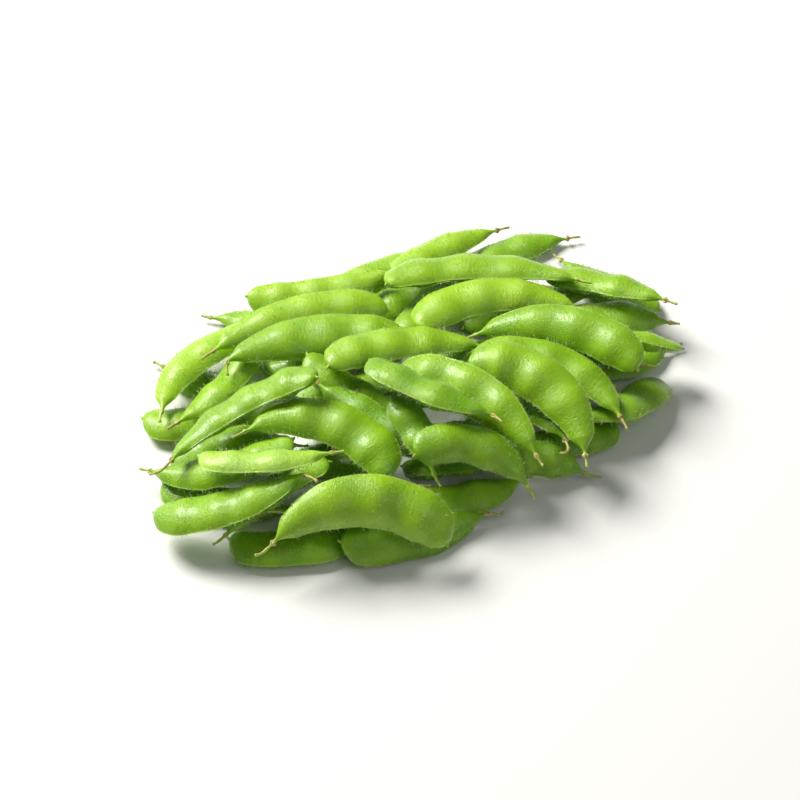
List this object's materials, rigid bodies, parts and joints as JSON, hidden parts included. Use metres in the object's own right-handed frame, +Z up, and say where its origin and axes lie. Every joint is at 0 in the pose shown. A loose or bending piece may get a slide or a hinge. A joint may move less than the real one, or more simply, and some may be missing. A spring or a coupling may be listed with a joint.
{
  "type": "edamame pod bundle",
  "caption": "Loose oval heap of whole green edamame pods, each curved and swollen over its beans, with a small beak and a stub of stalk, lying as one piece on its flat underside.",
  "frame": {"origin": "on the surface that the heap lies on, below the middle of its bounding box", "axes": "+X along the long way of the heap, +Y across it, +Z up"},
  "size_m": [0.2051, 0.1412, 0.0374],
  "materials": {
    "pale_pod_skin": "moist, finely haired skin of a pale green pod",
    "fresh_pod_skin": "moist, finely haired skin of a fresh green pod",
    "deep_pod_skin": "moist, finely haired skin of a deep green pod"
  },
  "bodies": {
    "root": {"ground_pod_01": "deep_pod_skin", "ground_pod_02": "fresh_pod_skin", "ground_pod_03": "fresh_pod_skin", "ground_pod_04": "fresh_pod_skin", "ground_pod_05": "pale_pod_skin", "ground_pod_06": "fresh_pod_skin", "ground_pod_07": "fresh_pod_skin", "ground_pod_08": "deep_pod_skin", "ground_pod_09": "deep_pod_skin", "ground_pod_10": "deep_pod_skin", "ground_pod_11": "fresh_pod_skin", "ground_pod_12": "fresh_pod_skin", "ground_pod_13": "deep_pod_skin", "ground_pod_14": "fresh_pod_skin", "ground_pod_15": "fresh_pod_skin", "ground_pod_16": "fresh_pod_skin", "ground_pod_17": "fresh_pod_skin", "ground_pod_18": "fresh_pod_skin", "ground_pod_19": "deep_pod_skin", "ground_pod_20": "deep_pod_skin", "ground_pod_21": "fresh_pod_skin", "ground_pod_22": "fresh_pod_skin", "ground_pod_23": "deep_pod_skin", "lower_pod_01": "deep_pod_skin", "lower_pod_02": "fresh_pod_skin", "lower_pod_03": "fresh_pod_skin", "lower_pod_04": "deep_pod_skin", "lower_pod_05": "deep_pod_skin", "lower_pod_06": "deep_pod_skin", "lower_pod_07": "fresh_pod_skin", "lower_pod_08": "deep_pod_skin", "lower_pod_09": "deep_pod_skin", "lower_pod_10": "fresh_pod_skin", "lower_pod_11": "fresh_pod_skin", "lower_pod_12": "pale_pod_skin", "lower_pod_13": "pale_pod_skin", "lower_pod_14": "pale_pod_skin", "lower_pod_15": "fresh_pod_skin", "lower_pod_16": "fresh_pod_skin", "lower_pod_17": "fresh_pod_skin", "lower_pod_18": "deep_pod_skin", "lower_pod_19": "fresh_pod_skin", "lower_pod_20": "fresh_pod_skin", "upper_pod_01": "fresh_pod_skin", "upper_pod_02": "fresh_pod_skin", "upper_pod_03": "deep_pod_skin", "upper_pod_04": "pale_pod_skin", "upper_pod_05": "fresh_pod_skin", "upper_pod_06": "fresh_pod_skin", "upper_pod_07": "fresh_pod_skin", "upper_pod_08": "fresh_pod_skin", "upper_pod_09": "fresh_pod_skin", "upper_pod_10": "pale_pod_skin", "top_pod_01": "fresh_pod_skin", "top_pod_02": "pale_pod_skin", "top_pod_03": "pale_pod_skin", "top_pod_04": "fresh_pod_skin", "top_pod_05": "fresh_pod_skin", "top_pod_06": "fresh_pod_skin", "top_pod_07": "deep_pod_skin"}
  },
  "joints": []
}
